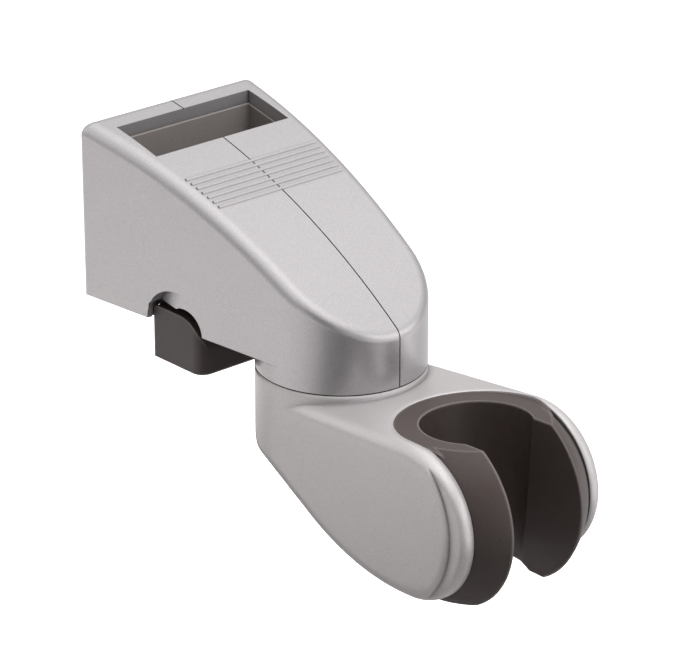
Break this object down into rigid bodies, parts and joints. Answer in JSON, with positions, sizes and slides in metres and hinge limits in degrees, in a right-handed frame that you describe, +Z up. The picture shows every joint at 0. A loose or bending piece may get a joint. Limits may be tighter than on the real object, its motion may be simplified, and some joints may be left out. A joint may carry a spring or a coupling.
{
  "type": "shower rail slider",
  "caption": "Slider that grips a flat shower rail with a sprung brake and a press lever, and carries an open cup for a hand shower on a swivelling arm.",
  "frame": {"origin": "on the axis of the rail channel, level with the underside of the housing", "axes": "+Z up along the rail, +X away from the wall towards the cup, +Y across the rail"},
  "size_m": [0.1256, 0.049, 0.081],
  "materials": {
    "silver_paint": "satin silver coat on moulded plastic",
    "dark_plastic": "fine matt texture, dark brown-grey",
    "pale_plastic": "smooth, undyed",
    "rubber": "matt",
    "steel": "bright"
  },
  "bodies": {
    "housing": {"housing_left": "silver_paint", "housing_right": "silver_paint", "rail_guide_left": "pale_plastic", "rail_guide_right": "pale_plastic", "housing_screw_1": "steel", "housing_screw_2": "steel", "housing_screw_3": "steel", "housing_screw_4": "steel", "lever_pin": "steel", "brake_spring": "steel", "thrust_ring": "pale_plastic", "friction_ring": "pale_plastic", "spring_disc": "steel"},
    "lever": {"release_lever": "dark_plastic"},
    "brake": {"brake_shoe": "pale_plastic", "brake_pad": "rubber"},
    "holder": {"holder_shell": "silver_paint", "cup_liner": "dark_plastic", "swivel_journal": "pale_plastic", "swivel_washer": "steel", "swivel_screw": "steel", "swivel_cap": "silver_paint"}
  },
  "joints": [
    {"name": "lever_press", "type": "hinge", "parent": "housing", "child": "lever", "pos_m": [0.0293, 0, 0.0058], "axis": [0, 1, 0], "range_deg": [0, 3], "stiffness_Nm_per_rad": 0.5, "springref_deg": -8.59},
    {"name": "shoe_slide", "type": "slide", "parent": "housing", "child": "brake", "axis": [1, 0, 0], "range_m": [0, 0.0006], "deforming": ["brake_spring"]},
    {"name": "holder_swivel", "type": "hinge", "parent": "housing", "child": "holder", "pos_m": [0.0465, 0, -0.0042], "axis": [0, 0, 1], "range_deg": [-90, 90]}
  ],
  "couplings": [
    {"joint": "shoe_slide", "follows": "lever_press", "m_per_rad": 0.0102}
  ]
}
